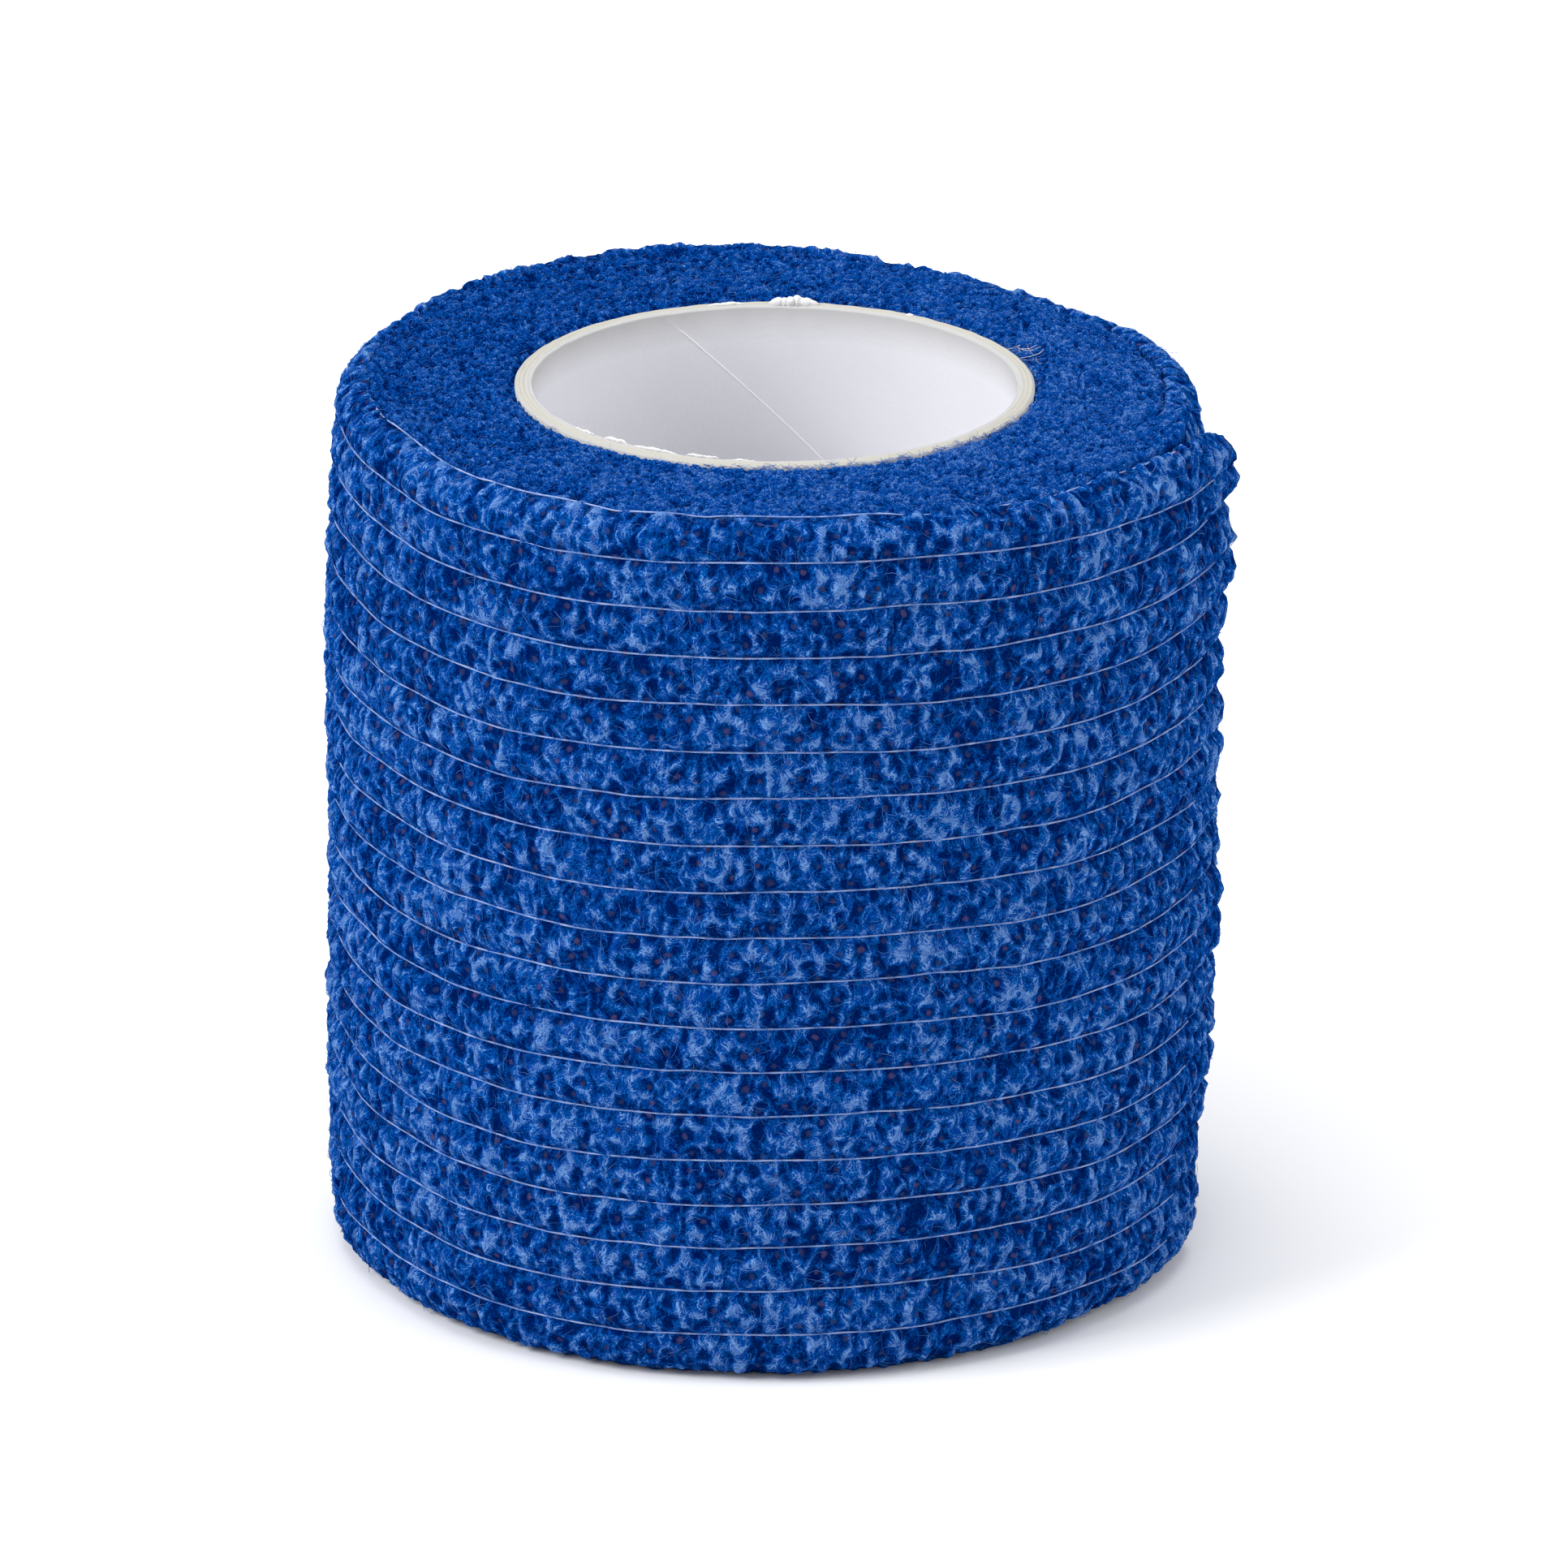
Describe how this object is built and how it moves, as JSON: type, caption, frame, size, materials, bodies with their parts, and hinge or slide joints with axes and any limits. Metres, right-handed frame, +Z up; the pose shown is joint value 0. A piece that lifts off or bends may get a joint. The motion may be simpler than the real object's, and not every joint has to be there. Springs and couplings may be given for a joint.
{
  "type": "sock tape roll",
  "caption": "Roll of blue cohesive elastic sock tape wound on an open white cardboard core, standing on its end.",
  "frame": {"origin": "middle of the base, where the roll stands on a surface, at the centre of its outline", "axes": "+Z up along the core, -Y towards the side that the picture shows, and the tape's free end just in front of +X"},
  "size_m": [0.0504, 0.0498, 0.05],
  "materials": {
    "tape_fabric": "matt crinkled non-woven with fine elastic threads",
    "core_card": "matt white paper over cream board"
  },
  "bodies": {
    "root": {"wound_tape": "tape_fabric", "core": "core_card"}
  },
  "joints": []
}
